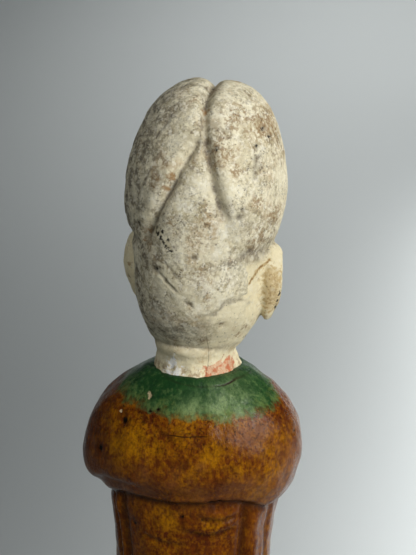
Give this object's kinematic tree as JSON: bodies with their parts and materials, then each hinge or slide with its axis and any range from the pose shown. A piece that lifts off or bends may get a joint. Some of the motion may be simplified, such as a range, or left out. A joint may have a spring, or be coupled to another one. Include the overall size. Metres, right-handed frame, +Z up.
{
  "type": "tomb figure of a standing court lady",
  "caption": "Standing court lady tomb figure on a low slab, tall two-lobed hair, hands joined in long sleeves, earthenware with amber and green lead glaze.",
  "frame": {"origin": "middle of the slab's underside", "axes": "+Z up, the figure faces -Y and her right side is towards -X"},
  "size_m": [0.112, 0.094, 0.4509],
  "materials": {
    "glazed_earthenware": "buff earthenware under glossy amber and green lead glaze, with bare clay under worn cream slip on the head"
  },
  "bodies": {
    "root": {"court_lady": "glazed_earthenware"}
  },
  "joints": []
}
